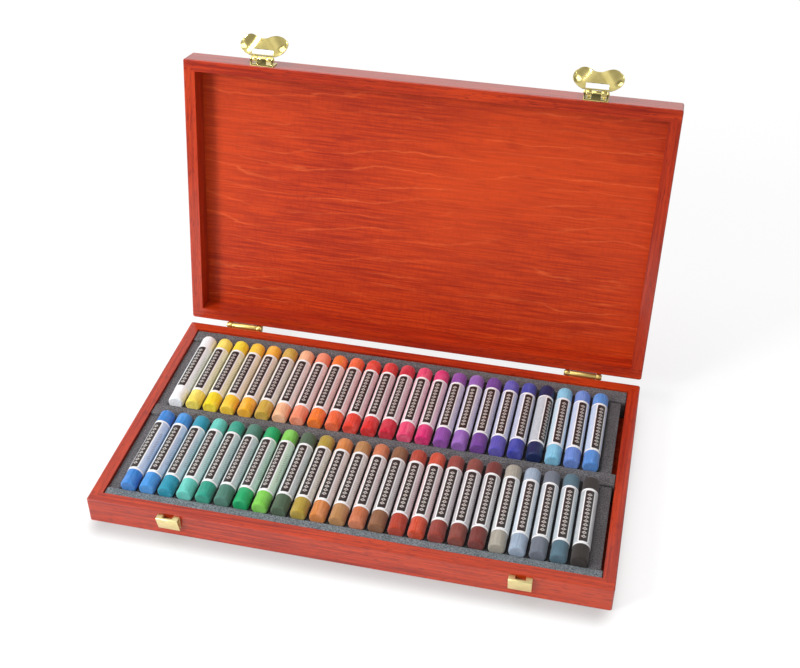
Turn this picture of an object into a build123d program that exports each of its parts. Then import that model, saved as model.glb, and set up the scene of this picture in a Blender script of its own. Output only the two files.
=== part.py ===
from build123d import *
import math
import os

os.makedirs("parts", exist_ok=True)

# A hinged wooden case with two rows of round pastels lying in grey foam.
# Millimetres. +X runs along the case to the viewer's right, +Y runs from the front to the
# hinges, +Z is up. The origin is in the middle of the underside of the base. Everything is
# written with the lid shut, and open_lid() then leans the lid back as it stands in use.

# ---- case ------------------------------------------------------------------------------
# Its width and depth follow from the pastels and the foam that it holds.
base_height = 18.5
lid_height = 17.5
wall = 8.0
panel = 3.0             # plywood of the bottom and of the lid's top
panel_rebate = 4.0      # how far the plywood reaches under the walls
panel_play = 0.2        # left round the plywood in its rebate
rim_gap = 0.2           # between the two rims with the lid shut
lid_angle = 100.5       # how far the lid swings back
corner_round = 1.6      # upright outer corners
edge_ease = 0.6         # the other outer edges
tongue_length = 3.0     # stub tongue on the side walls' ends
tongue_thick = 2.6
tongue_play = 0.05

# ---- pastels ---------------------------------------------------------------------------
stick_diameter = 10.4
stick_length = 72.0
sleeve_length = 48.0
sleeve_thick = 0.25
sleeve_play = 0.02      # between the paper and the stick
sleeve_flats = 12       # the rolled paper is drawn with this many flats
sticks_per_row = 24
sticks_per_family = 4
back_gap = 1.36         # between neighbouring sleeves of the back row
front_gap = 1.46
end_gap = 0.6           # from a stick's end to the foam strip beyond it
stick_rise = 0.5        # height of the sticks' centre lines above the base's rim

# ---- foam ------------------------------------------------------------------------------
strip_drop = 1.0        # tops of the three plain strips, below the base's rim
bed_drop = 2.2          # tops of the ridges of the two grooved beds, below it
foam_play = 0.3         # foam to walls, and foam to what lies on it
front_strip_depth = 6.6
middle_strip_depth = 11.0
back_strip_depth = 11.4
bed_margin = 13.6       # from a bed's left end to the first stick's centre line
back_bed_end = 13.9     # from the last stick's centre line to the bed's right end
front_bed_end = 13.2
bed_slack = 1.4         # from the longer bed's right end to the wall, beside foam_play

# ---- hinges ----------------------------------------------------------------------------
hinge_inset = 40.3      # from the case's ends to the hinges' middles
hinge_length = 25.0
leaf_thick = 1.0
leaf_height = 11.5
leaf_corner = 1.5
knuckle_radius = 2.3
hinge_pin_radius = 1.2
pin_play = 0.1
end_knuckle = 3.2       # the lid's two knuckles, with the base's one between them
knuckle_gap = 0.2
pin_head_radius = 1.7
pin_head_thick = 0.6
pin_head_gap = 0.1
ear_inner = 3.0         # the stop ears meet between these distances from the pin
ear_outer = 5.6
ear_flare = 1.4         # how much wider an ear is where it leaves the leaf
ear_thick = 0.9
ear_gap = 0.04
screw_x = 6.6
screw_drop = 7.2
screw_radius = 1.0
screw_head_radius = 2.0
screw_length = 6.4
screw_play = 0.1        # round a screw in its leaf

# ---- catches ---------------------------------------------------------------------------
catch_inset = 55.0      # from the case's ends to the catches' middles
catch_width = 15.8
catch_sheet = 0.8
catch_pin_out = 4.6     # pin centre line to the case's front
catch_knuckle_radius = 1.65
shelf_gap = 0.25        # from the lid's rim up to the bracket's shelf
catch_pin_radius = 0.8
catch_pin_proud = 0.3   # how far the pin stands out of its knuckles
catch_plate_height = 10.5
plate_corner = 1.5
tongue_knuckle = 6.0    # middle knuckle of the bracket
outer_knuckle = 1.2     # its two end knuckles
barrel_gap = 0.15       # between the bracket's knuckles and the hasp's
shelf_lip = 1.3         # solid part of the shelf along the wood
hasp_open = 100.0       # how far the hasp swings up
hasp_half_width = 15.0
hasp_length = 16.2
hasp_valley = 13.3      # between the two lobes
hasp_neck_ease = 0.7
hasp_curl_radius = 8.5
hasp_curl_turn = 75.0
hasp_slot_side = 1.65   # metal left beside the slot at the neck
hasp_slot_corner = 0.4
hasp_slot_play = 0.25   # beside the keeper
hasp_slot_above = 0.55  # above the keeper's top
hasp_slot_below = 0.22  # below where the keeper's front has left the slot
hasp_hill_margin = 0.5  # flat metal beside the slot before the lobes curl
hasp_hill_tip = 1.0     # half width of the flat hill at the valley
nail_thick = 1.1        # square shank
nail_head_radius = 1.2
nail_head_height = 0.6
nail_length = 5.5
nail_inset = 3.0        # from the plate's edges to the nails

# ---- keepers ---------------------------------------------------------------------------
keeper_width = 14.2
keeper_sheet = 0.8
keeper_drop = 1.3       # top of the keeper below the rim
latch_reach = 0.55      # how far its nose stands in the slot of the shut hasp
keeper_nose = 0.4
keeper_height = 10.4
keeper_leg = 9.4        # the leg on the wood
keeper_slant = 14.5     # the front leans in towards the wood by this angle
keeper_notch = 6.2
keeper_notch_out = 3.2
keeper_notch_drop = 2.8
prong_width = 1.6
prong_length = 4.5
prong_inset = 2.2       # from the keeper's ends to the prongs' middles
prong_drop = 5.7        # from the keeper's top to the prongs' middles

# ---- worked out ------------------------------------------------------------------------
stick_radius = stick_diameter / 2
sleeve_inner = stick_radius + sleeve_play
sleeve_outer = sleeve_inner + sleeve_thick
groove_radius = sleeve_outer / math.cos(math.pi / sleeve_flats) + foam_play
pitches = {"back": 2 * sleeve_outer + back_gap, "front": 2 * sleeve_outer + front_gap}
bed_ends = {"back": back_bed_end, "front": front_bed_end}
bed_lengths = {row: bed_margin + (sticks_per_row - 1) * pitches[row] + bed_ends[row]
               for row in pitches}
inner_w = max(bed_lengths.values()) + bed_slack + 2 * foam_play
inner_d = (front_strip_depth + middle_strip_depth + back_strip_depth + 2 * foam_play
           + 2 * (stick_length + 2 * end_gap))
half_w = inner_w / 2 + wall
half_d = inner_d / 2 + wall
rim = base_height + rim_gap
lid_top = rim + lid_height
strip_height = base_height - strip_drop
bed_height = base_height - bed_drop
pastel_height = base_height + stick_rise
hinge_x = half_w - hinge_inset
hinge_y = half_d + knuckle_radius
hinge_z = base_height + rim_gap / 2
hinge_axis = Axis((0, hinge_y, hinge_z), (1, 0, 0))
catch_x = half_w - catch_inset
catch_pin_up = catch_knuckle_radius + shelf_gap
catch_y = -half_d - catch_pin_out
catch_z = rim + catch_pin_up
lean = math.tan(math.radians(keeper_slant))
keeper_out = catch_pin_out - catch_sheet / 2 + latch_reach
hasp_slot_width = keeper_width + 2 * hasp_slot_play
hasp_neck = hasp_slot_width / 2 + hasp_slot_side
hasp_slot_near = catch_pin_up + rim_gap + keeper_drop - hasp_slot_above
hasp_slot_far = (hasp_slot_near + hasp_slot_above + keeper_nose + latch_reach / lean
                 + hasp_slot_below)
back_strip_far = inner_d / 2 - foam_play
front_strip_near = -inner_d / 2 + foam_play
front_strip_far = front_strip_near + front_strip_depth
front_row_near = front_strip_far + end_gap
middle_strip_near = front_row_near + stick_length + end_gap
middle_strip_far = middle_strip_near + middle_strip_depth
back_row_near = middle_strip_far + end_gap
back_strip_near = back_row_near + stick_length + end_gap
bed_left = -inner_w / 2 + foam_play
first_stick = bed_left + bed_margin
beyond = 2 * half_w     # far enough to cut right through a fitting
bottom_at = (0, panel)
top_at = (lid_top - panel, lid_top)
sides = {"left": -1, "right": 1}

families = {
    "back": ["white_to_yellow", "gold_to_salmon", "orange_to_red",
             "crimson_to_violet", "violet_to_ultramarine", "navy_to_blue"],
    "front": ["cobalt_to_aqua", "sea_green_to_lime", "olive_to_sienna",
              "terracotta_to_brick", "brown_to_warm_grey", "grey_to_black"],
}
near_ends = {"back": back_row_near, "front": front_row_near}


def keep(name, shape):
    """Writes one sub-part under its node's name."""
    shape.label = name
    export_step(shape, f"parts/{name}.step")


def block(x0, x1, y0, y1, z0, z1):
    """A box between two corners."""
    centre = ((x0 + x1) / 2, (y0 + y1) / 2, (z0 + z1) / 2)
    return Pos(*centre) * Box(abs(x1 - x0), abs(y1 - y0), abs(z1 - z0))


def yz_face(*points):
    """A flat face in the YZ plane with these corners."""
    return make_face(Polyline(*[(0, y, z) for y, z in points], close=True))


def along_x(profile, x0, x1):
    """A profile drawn in Y and Z, carried from x0 to x1."""
    return Pos(x0, 0, 0) * extrude(profile, x1 - x0, dir=(1, 0, 0))


def rod(start, direction, radius, length):
    """A cylinder that starts at one point and runs along direction."""
    return Solid.make_cylinder(radius, length, Plane(start, z_dir=direction))


def x_rod(radius, x0, x1):
    """A cylinder along a pin's own centre line, from x0 to x1."""
    return rod((x0, 0, 0), (1, 0, 0), radius, x1 - x0)


def open_lid(shape):
    """Leans a piece of the shut lid back about the hinge pins."""
    return shape.rotate(hinge_axis, -lid_angle)


# ---- wooden walls and panels -----------------------------------------------------------

def long_wall(side, z0, z1, panel_at):
    """The front (side -1) or back (side 1) wall: full width, grooved for the side walls."""
    outer, inner = side * half_d, side * (half_d - wall)
    piece = block(-half_w, half_w, outer, inner, z0, z1)
    uprights = piece.edges().filter_by(Axis.Z)
    piece = fillet(uprights.filter_by(lambda e: abs(e.center().Y - outer) < 0.01), corner_round)
    outside = piece.faces().sort_by(Axis.Y)[0 if side < 0 else -1]
    piece = chamfer(outside.edges().filter_by(Axis.X), edge_ease)
    half = tongue_thick / 2 + tongue_play
    for middle in (wall / 2 - half_w, half_w - wall / 2):
        deep = inner + side * tongue_length
        piece -= block(middle - half, middle + half, inner, deep, z0, z1)
    return piece - panel_room(panel_at)


def side_wall(side, z0, z1, panel_at):
    """A side wall, which butts between the long walls and has a stub tongue at each end."""
    outer, inner = side * half_w, side * (half_w - wall)
    reach = inner_d / 2
    piece = block(outer, inner, -reach, reach, z0, z1)
    outside = piece.faces().sort_by(Axis.X)[0 if side < 0 else -1]
    piece = chamfer(outside.edges().filter_by(Axis.Y), edge_ease)
    middle = side * (half_w - wall / 2)
    half = tongue_thick / 2
    tip = reach + tongue_length - tongue_play
    piece += block(middle - half, middle + half, -tip, tip, z0, z1)
    return piece - panel_room(panel_at)


def panel_room(panel_at):
    """The rebate that takes a plywood panel, as a block to cut away."""
    x, y = inner_w / 2 + panel_rebate, inner_d / 2 + panel_rebate
    return block(-x, x, -y, y, *panel_at)


def plywood(panel_at):
    """A panel let into the rebate of the four walls."""
    x = inner_w / 2 + panel_rebate - panel_play
    y = inner_d / 2 + panel_rebate - panel_play
    return block(-x, x, -y, y, *panel_at)


# ---- foam ------------------------------------------------------------------------------

def foam_strip(y0, y1):
    """A plain strip right across the inside of the base."""
    x = inner_w / 2 - foam_play
    return block(-x, x, y0, y1, panel, strip_height)


def foam_bed(row):
    """A bed with one round groove under each stick, cut across it."""
    y0 = near_ends[row] - end_gap + foam_play
    y1 = near_ends[row] + stick_length + end_gap - foam_play
    bed = block(bed_left, bed_left + bed_lengths[row], y0, y1, panel, bed_height)
    groove = rod((0, y0, pastel_height), (0, 1, 0), groove_radius, y1 - y0)
    return bed - [Pos(first_stick + i * pitches[row], 0, 0) * groove
                  for i in range(sticks_per_row)]


# ---- pastels ---------------------------------------------------------------------------

def family_places(row, family_index):
    """Near-end centres of the four neighbouring sticks of one family."""
    first = family_index * sticks_per_family
    return [(first_stick + i * pitches[row], near_ends[row], pastel_height)
            for i in range(first, first + sticks_per_family)]


def pastel_stick(near_end):
    return rod(near_end, (0, 1, 0), stick_radius, stick_length)


def paper_sleeve(near_end):
    """The paper rolled round the middle of a stick, which leaves both its ends bare."""
    x, y, z = near_end
    start = Plane((x, y + (stick_length - sleeve_length) / 2, z), x_dir=(1, 0, 0), z_dir=(0, 1, 0))
    turn = 180 / sleeve_flats
    outside = RegularPolygon(sleeve_outer, sleeve_flats, major_radius=False, rotation=turn)
    inside = RegularPolygon(sleeve_inner, sleeve_flats, major_radius=False, rotation=turn)
    return extrude(start * (outside - inside), sleeve_length)


# ---- hinges ----------------------------------------------------------------------------

def knuckle_spans(upward):
    """Where a leaf is rolled round the pin: the lid's at both ends, the base's between."""
    outer, inner = hinge_length / 2, hinge_length / 2 - end_knuckle
    if upward > 0:
        return [(-outer, -inner - knuckle_gap / 2), (inner + knuckle_gap / 2, outer)]
    return [(-inner + knuckle_gap / 2, inner - knuckle_gap / 2)]


def hinge_leaf(x, upward):
    """A sheet leaf on the outside of the back wall, rolled round the pin.

    upward is 1 for the lid's leaf and -1 for the base's. Its two ends are turned out into
    small ears, and the ears of the two leaves meet when the lid is open.
    """
    wood, face = -knuckle_radius, leaf_thick - knuckle_radius
    near, far = upward * (knuckle_radius + knuckle_gap), upward * leaf_height
    plate = yz_face((wood, near), (face, near), (face, far), (wood, far))
    leaf = along_x(plate, -hinge_length / 2, hinge_length / 2)
    root = yz_face((wood, 0), (face, 0), (face, near), (wood, near))
    for x0, x1 in knuckle_spans(upward):
        leaf += along_x(root, x0, x1)
        leaf += x_rod(knuckle_radius, x0, x1)
    leaf -= x_rod(hinge_pin_radius + pin_play, -beyond, beyond)
    leaf += stop_ears(face, upward)
    for sx in (-screw_x, screw_x):
        leaf -= screw((sx, face, upward * screw_drop), screw_play)
    corners = leaf.edges().filter_by(Axis.Y)
    corners = corners.filter_by(lambda e: abs(e.center().Z - far) < 0.01)
    return Pos(x, hinge_y, hinge_z) * fillet(corners, leaf_corner)


def stop_ears(face, upward):
    """Ears at both ends of a leaf, whose edges halve the angle of the open hinge."""
    half = math.radians((180 - lid_angle) / 2)
    along = (math.sin(half), upward * math.cos(half))
    back_off = (-math.cos(half) * ear_gap, upward * math.sin(half) * ear_gap)
    near, far = [(along[0] * r + back_off[0], along[1] * r + back_off[1])
                 for r in (ear_inner, ear_outer)]
    root = face - leaf_thick / 2
    ear = yz_face((root, upward * ear_inner), near, far, (root, upward * (ear_outer + ear_flare)))
    outer = hinge_length / 2
    return [along_x(ear, -outer, -outer + ear_thick), along_x(ear, outer - ear_thick, outer)]


def hinge_pin(x):
    """The pin, with a flat head at each end."""
    half = hinge_length / 2 + pin_head_gap
    pin = x_rod(hinge_pin_radius, -half, half)
    for side in (-1, 1):
        pin += rod((side * half, 0, 0), (side, 0, 0), pin_head_radius, pin_head_thick)
    return Pos(x, hinge_y, hinge_z) * pin


def screw(seat, play=0.0):
    """A countersunk wood screw whose head is flush at seat and whose point is towards -Y."""
    top, low = screw_head_radius + play, screw_radius + play
    head = Solid.make_cone(top, low, top - low, Plane(seat, z_dir=(0, -1, 0)))
    return head + rod(seat, (0, -1, 0), low, screw_length)


def screw_places(upward):
    """Where the four screws of one wall have their heads."""
    y = hinge_y - knuckle_radius + leaf_thick
    return [(side * hinge_x + dx, y, hinge_z + upward * screw_drop)
            for side in (-1, 1) for dx in (-screw_x, screw_x)]


# ---- catches ---------------------------------------------------------------------------

def catch_bracket():
    """A plate on the lid's front, bent out along the rim as a shelf and rolled round the pin."""
    half = catch_width / 2
    wood, face = catch_pin_out, catch_pin_out - catch_sheet
    low, top = -catch_knuckle_radius, catch_plate_height - catch_pin_up
    plate = yz_face((wood, low), (wood, top), (face, top), (face, low))
    shelf = yz_face((wood, low), (wood, low + catch_sheet), (0, low + catch_sheet), (0, low))
    bracket = along_x(plate, -half, half) + along_x(shelf, -half, half)
    bracket += x_rod(catch_knuckle_radius, -half, half)
    bracket -= x_rod(catch_pin_radius, -half, half)
    for side in (-1, 1):
        window = (side * tongue_knuckle / 2, side * (half - outer_knuckle))
        bracket -= block(*window, -beyond, wood - shelf_lip, -beyond, beyond)
    corners = bracket.edges().filter_by(Axis.Y)
    corners = corners.filter_by(lambda e: abs(e.center().Z - top) < 0.01)
    return fillet(corners, plate_corner) - bracket_nails()


def bracket_nails():
    """Two dome-headed nails through the plate, in the bracket's own place."""
    seat, half = catch_pin_out - catch_sheet, nail_thick / 2
    z = catch_plate_height - catch_pin_up - nail_inset
    dome = (nail_head_radius ** 2 + nail_head_height ** 2) / (2 * nail_head_height)
    nails = []
    for x in (nail_inset - catch_width / 2, catch_width / 2 - nail_inset):
        head = Pos(x, seat + dome - nail_head_height, z) * Sphere(dome)
        head &= block(x - dome, x + dome, seat - nail_head_height, seat, z - dome, z + dome)
        shank = block(x - half, x + half, seat, seat + nail_length, z - half, z + half)
        nails.append(head + shank)
    return nails


def hasp_outline():
    """The flat outline of the two-lobed hasp with its slot, seen from the front."""
    top = -catch_knuckle_radius - barrel_gap
    shoulder = (hasp_neck, top - hasp_neck_ease)
    widest = (hasp_half_width, -0.57 * hasp_length)
    lowest = (0.58 * hasp_half_width, -hasp_length)
    with BuildSketch() as sketch:
        with BuildLine():
            Polyline((0, top), (hasp_neck - hasp_neck_ease, top), shoulder)
            Spline(shoulder, widest, lowest, (0, -hasp_valley), tangents=((0.8, -0.6), (-1, 0)))
            Line((0, -hasp_valley), (0, top))
        make_face()
        mirror(about=Plane.YZ)
        with Locations((0, -(hasp_slot_near + hasp_slot_far) / 2)):
            RectangleRounded(hasp_slot_width, hasp_slot_far - hasp_slot_near,
                             hasp_slot_corner, mode=Mode.SUBTRACT)
    return sketch.sketch


def curled_sheet(side):
    """A sheet that is flat near the middle and curls away from the case past a slanted line.

    The line runs from beside the slot to the valley between the lobes, so that the flat part
    is a tapering hill and each lobe is a scoop for a fingertip.
    """
    start = Vector(side * (hasp_slot_width / 2 + hasp_hill_margin), 0, -hasp_slot_near)
    line = (Vector(side * hasp_hill_tip, 0, -hasp_valley) - start).normalized()
    outward = Vector(-line.Z * side, 0, line.X * side)
    frame = Plane(start, x_dir=outward, z_dir=outward.cross(Vector(0, -1, 0)))
    half, flat = catch_sheet / 2, 2 * hasp_half_width
    turn = math.radians(hasp_curl_turn)

    def curl(radius, angle):
        return (radius * math.sin(angle), hasp_curl_radius - radius * math.cos(angle))

    outer, inner = hasp_curl_radius + half, hasp_curl_radius - half
    with BuildSketch(frame) as section:
        with BuildLine():
            Polyline(curl(inner, 0), (-flat, half), (-flat, -half), curl(outer, 0))
            ThreePointArc(curl(outer, 0), curl(outer, turn / 2), curl(outer, turn))
            Line(curl(outer, turn), curl(inner, turn))
            ThreePointArc(curl(inner, turn), curl(inner, turn / 2), curl(inner, 0))
        make_face()
    return extrude(section.sketch, flat, both=True)


def hasp():
    """The hasp hanging shut: knuckles round the pin, a slot for the keeper, two curled lobes."""
    cutter = extrude(Plane.XZ * hasp_outline(), hasp_half_width, both=True)
    wings = []
    for side in (-1, 1):
        room = block(0, side * beyond, -beyond, beyond, -beyond, beyond)
        wings.append(cutter & curled_sheet(side) & room)
    blade = wings[0] + wings[1]
    half = catch_sheet / 2
    for side in (-1, 1):
        inner = tongue_knuckle / 2 + barrel_gap
        outer = catch_width / 2 - outer_knuckle - barrel_gap
        low, high = sorted((side * inner, side * outer))
        blade += x_rod(catch_knuckle_radius, low, high)
        blade += block(low, high, -half, half, -hasp_slot_near, 0)
    return blade - x_rod(catch_pin_radius + pin_play, -beyond, beyond)


def catch_pin():
    half = catch_width / 2 + catch_pin_proud
    return x_rod(catch_pin_radius, -half, half)


def at_catch(side, shape):
    """Moves a catch piece from the pin's own place to the shut lid's front."""
    return Pos(side * catch_x, catch_y, catch_z) * shape


def keeper():
    """A sheet folded like a clip: a leg on the wood, a flange on top and a slanting front."""
    top = -keeper_drop

    def front(drop):
        return -keeper_out + (drop - keeper_nose) * lean

    section = yz_face((0, top), (keeper_nose - keeper_out, top),
                      (front(keeper_nose), top - keeper_nose),
                      (front(keeper_height), top - keeper_height),
                      (front(keeper_height) + keeper_sheet, top - keeper_height),
                      (front(keeper_sheet) + keeper_sheet, top - keeper_sheet),
                      (-keeper_sheet, top - keeper_sheet),
                      (-keeper_sheet, top - keeper_leg), (0, top - keeper_leg))
    half = keeper_width / 2
    clip = along_x(section, -half, half)
    clip -= block(-keeper_notch / 2, keeper_notch / 2, -keeper_notch_out, 0,
                  top - keeper_notch_drop, top)
    return clip + prongs(0)


def prongs(play):
    """Two spikes behind the keeper, driven into the wood."""
    z = -keeper_drop - prong_drop
    half, thick = prong_width / 2 + play, keeper_sheet / 2 + play
    x = keeper_width / 2 - prong_inset
    return [block(middle - half, middle + half, 0, prong_length + play, z - thick, z + thick)
            for middle in (-x, x)]


def at_keeper(side, shape):
    """Moves a keeper piece from the rim's front edge to its place along the base."""
    return Pos(side * catch_x, -half_d, base_height) * shape


# ---- the case's base -------------------------------------------------------------------

prong_holes = [at_keeper(side, spike) for side in sides.values() for spike in prongs(tongue_play)]
keep("base_front_wall", long_wall(-1, 0, base_height, bottom_at) - prong_holes)
keep("base_back_wall",
     long_wall(1, 0, base_height, bottom_at) - [screw(seat) for seat in screw_places(-1)])
for name, side in sides.items():
    keep(f"base_{name}_wall", side_wall(side, 0, base_height, bottom_at))
keep("base_bottom_panel", plywood(bottom_at))

keep("foam_back_strip", foam_strip(back_strip_near, back_strip_far))
keep("foam_middle_strip", foam_strip(middle_strip_near, middle_strip_far))
keep("foam_front_strip", foam_strip(front_strip_near, front_strip_far))
keep("foam_back_bed", foam_bed("back"))
keep("foam_front_bed", foam_bed("front"))

# ---- the lid ---------------------------------------------------------------------------

nails = [at_catch(side, nail) for side in sides.values() for nail in bracket_nails()]
keep("lid_front_wall", open_lid(long_wall(-1, rim, lid_top, top_at) - nails))
keep("lid_back_wall",
     open_lid(long_wall(1, rim, lid_top, top_at) - [screw(seat) for seat in screw_places(1)]))
for name, side in sides.items():
    keep(f"lid_{name}_wall", open_lid(side_wall(side, rim, lid_top, top_at)))
keep("lid_panel", open_lid(plywood(top_at)))

# ---- fittings --------------------------------------------------------------------------

for name, side in sides.items():
    keep(f"{name}_hinge_base_leaf", hinge_leaf(side * hinge_x, -1))
    keep(f"{name}_hinge_lid_leaf", open_lid(hinge_leaf(side * hinge_x, 1)))
    keep(f"{name}_hinge_pin", hinge_pin(side * hinge_x))
    keep(f"{name}_catch_bracket", open_lid(at_catch(side, catch_bracket())))
    keep(f"{name}_catch_pin", open_lid(at_catch(side, catch_pin())))
    raised = hasp().rotate(Axis.X, -hasp_open)
    keep(f"{name}_catch_hasp", open_lid(at_catch(side, raised)))
    keep(f"{name}_catch_keeper", at_keeper(side, keeper()))

base_screws = [screw(seat) for seat in screw_places(-1)]
lid_screws = [screw(seat) for seat in screw_places(1)]
keep("base_hinge_screws", Compound(children=base_screws))
keep("lid_hinge_screws", open_lid(Compound(children=lid_screws)))
keep("catch_bracket_nails", open_lid(Compound(children=nails)))

# ---- the pastels -----------------------------------------------------------------------

for row, names in families.items():
    for index, name in enumerate(names):
        places = family_places(row, index)
        keep(f"sticks_{name}", Compound(children=[pastel_stick(p) for p in places]))
        keep(f"sleeves_{name}", Compound(children=[paper_sleeve(p) for p in places]))
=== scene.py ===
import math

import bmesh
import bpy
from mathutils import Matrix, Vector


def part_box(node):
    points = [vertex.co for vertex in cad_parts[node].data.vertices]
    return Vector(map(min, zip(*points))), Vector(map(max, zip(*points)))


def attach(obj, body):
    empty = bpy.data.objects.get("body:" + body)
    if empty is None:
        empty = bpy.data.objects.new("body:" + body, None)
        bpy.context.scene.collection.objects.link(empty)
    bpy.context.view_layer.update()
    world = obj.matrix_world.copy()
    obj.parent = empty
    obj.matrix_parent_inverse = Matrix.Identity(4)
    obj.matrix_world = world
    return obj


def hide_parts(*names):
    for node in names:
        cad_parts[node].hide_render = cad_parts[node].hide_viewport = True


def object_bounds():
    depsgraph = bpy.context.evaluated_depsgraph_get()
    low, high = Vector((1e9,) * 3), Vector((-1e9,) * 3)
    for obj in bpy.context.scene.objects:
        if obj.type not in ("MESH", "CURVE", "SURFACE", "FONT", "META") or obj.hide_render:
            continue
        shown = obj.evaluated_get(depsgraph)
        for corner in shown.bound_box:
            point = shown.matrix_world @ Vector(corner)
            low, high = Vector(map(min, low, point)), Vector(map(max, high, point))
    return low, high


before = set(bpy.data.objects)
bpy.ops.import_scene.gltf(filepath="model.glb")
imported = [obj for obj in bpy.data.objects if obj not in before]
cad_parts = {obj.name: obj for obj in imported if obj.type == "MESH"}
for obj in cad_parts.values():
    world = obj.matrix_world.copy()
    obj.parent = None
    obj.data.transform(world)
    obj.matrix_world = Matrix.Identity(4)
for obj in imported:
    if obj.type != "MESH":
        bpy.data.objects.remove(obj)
cad_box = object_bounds()

# %% [markdown]
# A pastel case stands open: a shallow wooden box, a lid that leans back, brass fittings, grey
# foam, and 48 round pastels in paper sleeves. The wooden walls and panels come from the CAD
# model with their exact sizes, so here they only need a finish. The foam, the pastels, the
# screws and most of the brass are modelled anew, because there a technical model looks stiff.

MM = 0.001
bpy.ops.object.select_all(action="DESELECT")
low, high = (Vector(corner) for corner in cad_box)
print("CAD box in mm:", [round(v / MM, 1) for v in high - low])

# %% [markdown]
# The lid leans back about the hinge pins. Shapes on the lid are easier to think about while
# it is shut, so they are made there and turned by the same matrix that the CAD model used.

# %% Where the lid turns
LEAN = math.radians(-100.5)
HINGE = Vector((0, 98.3, 18.6)) * MM
OPEN_LID = Matrix.Translation(HINGE) @ Matrix.Rotation(LEAN, 4, "X") @ Matrix.Translation(-HINGE)
LID_FRONT_EDGE = Vector((0, -96.0, 18.7)) * MM
print("the lid's front edge, opened:", [round(v, 4) for v in OPEN_LID @ LID_FRONT_EDGE])

# %% [markdown]
# The camera stands in front, a little to the right, and looks down at the rows. A lens of
# 56 mm keeps the perspective of a product photograph. The small shift moves the picture
# without turning the camera, so upright edges keep their slant.

# %% Camera
CAMERA_PLACE = (0.1472, -0.5965, 0.5713)
CAMERA_TILT = math.radians(50.62)
CAMERA_SWING = math.radians(13.13)
bpy.ops.object.camera_add(location=CAMERA_PLACE, rotation=(CAMERA_TILT, 0, CAMERA_SWING))
camera = bpy.context.object
camera.data.lens = 56.17
camera.data.shift_x = 0.0132
camera.data.shift_y = 0.0609
bpy.context.scene.camera = camera
bpy.context.scene.view_settings.view_transform = "Standard"
print("camera", camera.name, "lens", camera.data.lens)

# %% [markdown]
# Materials are built from nodes. A few small helpers keep that short. The first adds a node
# and wires its inputs. The others use it for arithmetic, stretched coordinates, a noise, a
# clamped range, a blend of two colours and bump.

# %% Node helpers
def put(tree, kind, inputs=(), **settings):
    """Adds a node, sets its settings, and fills its inputs by number or name."""
    made = tree.nodes.new(kind)
    for key, value in settings.items():
        setattr(made, key, value)
    for key, value in dict(inputs).items():
        if isinstance(value, bpy.types.NodeSocket):
            tree.links.new(value, made.inputs[key])
        else:
            made.inputs[key].default_value = value
    return made


def calc(tree, operation, *values):
    """One step of arithmetic."""
    return put(tree, "ShaderNodeMath", enumerate(values), operation=operation).outputs[0]


def times(tree, first, second):
    return calc(tree, "MULTIPLY", first, second)


def size_of(tree, value):
    """A value without its sign."""
    return calc(tree, "ABSOLUTE", value)


def diagonal(tree, across, along):
    """The length of a step that goes so far across and so far along."""
    squares = calc(tree, "ADD", times(tree, across, across), times(tree, along, along))
    return calc(tree, "SQRT", squares)


def stretched(tree, scale, turn=(0, 0, 0)):
    """The piece's own coordinates, turned and stretched, for a pattern to follow."""
    where = put(tree, "ShaderNodeTexCoord").outputs["Object"]
    turned = put(tree, "ShaderNodeMapping", {"Vector": where, "Rotation": turn}).outputs[0]
    return put(tree, "ShaderNodeMapping", {"Vector": turned, "Scale": scale}).outputs[0]


def noise(tree, coords, detail=3.0, rough=0.55, distort=0.0):
    """A cloudy pattern whose grain size comes from its stretched coordinates."""
    return put(tree, "ShaderNodeTexNoise",
               {"Vector": coords, "Scale": 1.0, "Detail": detail, "Roughness": rough,
                "Distortion": distort}).outputs[0]


def between(tree, value, low, high, to_low=0.0, to_high=1.0):
    """Stretches the part of a value between low and high, and clamps it."""
    return put(tree, "ShaderNodeMapRange",
               {0: value, 1: low, 2: high, 3: to_low, 4: to_high}).outputs[0]


def blend(tree, factor, first, second):
    """The first colour at factor 0 and the second at factor 1."""
    mixed = put(tree, "ShaderNodeMix", {0: factor, 6: first, 7: second}, data_type="RGBA")
    return mixed.outputs[2]


def linear(*rgb):
    """A colour as the eye names it, from 0 to 1, turned into the light it stands for."""
    return tuple(v / 12.92 if v <= 0.04045 else ((v + 0.055) / 1.055) ** 2.4 for v in rgb) + (1,)


def new_finish(name, **constants):
    """A material with one Principled shader, whose constant sockets are set directly."""
    made = bpy.data.materials.new(name)
    made.use_nodes = True
    shader = made.node_tree.nodes["Principled BSDF"]
    for key, value in constants.items():
        shader.inputs[key.replace("_", " ")].default_value = value
    return made, made.node_tree, shader


def relief(tree, shader, height, distance):
    """Feeds a height into the shader as bump."""
    bump = put(tree, "ShaderNodeBump", {"Height": height, "Distance": distance, "Strength": 1.0})
    tree.links.new(bump.outputs[0], shader.inputs["Normal"])


print("helpers ready")

# %% [markdown]
# The ground is a wide white sheet. Its colour is close to white. For the camera alone a glow is
# mixed in, which makes it pure white further out. The glow is dimmed at the foot of the case,
# which paints a soft contact shade there beside the case's own soft shadow.

# %% Floor
# in metres, as a shader measures
SHADE_HALF_WIDTH = 0.154
SHADE_HALF_DEPTH = 0.088
SHADE_FORWARD = 0.010
SHADE_REACH = 0.018
bpy.ops.mesh.primitive_plane_add(size=12, location=(0, 0, 0))
floor = bpy.context.object
floor.name = "floor"
paper_white, tree, shader = new_finish("ground_paper", Roughness=0.9)
shader.inputs["Specular IOR Level"].default_value = 0.1
rays = put(tree, "ShaderNodeLightPath")
spot = put(tree, "ShaderNodeTexCoord").outputs["Object"]
place = put(tree, "ShaderNodeSeparateXYZ", {0: spot})
fibre = noise(tree, stretched(tree, (40, 40, 40)), detail=2.0)
tone = between(tree, fibre, 0.0, 1.0, 0.93, 0.96)
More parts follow.
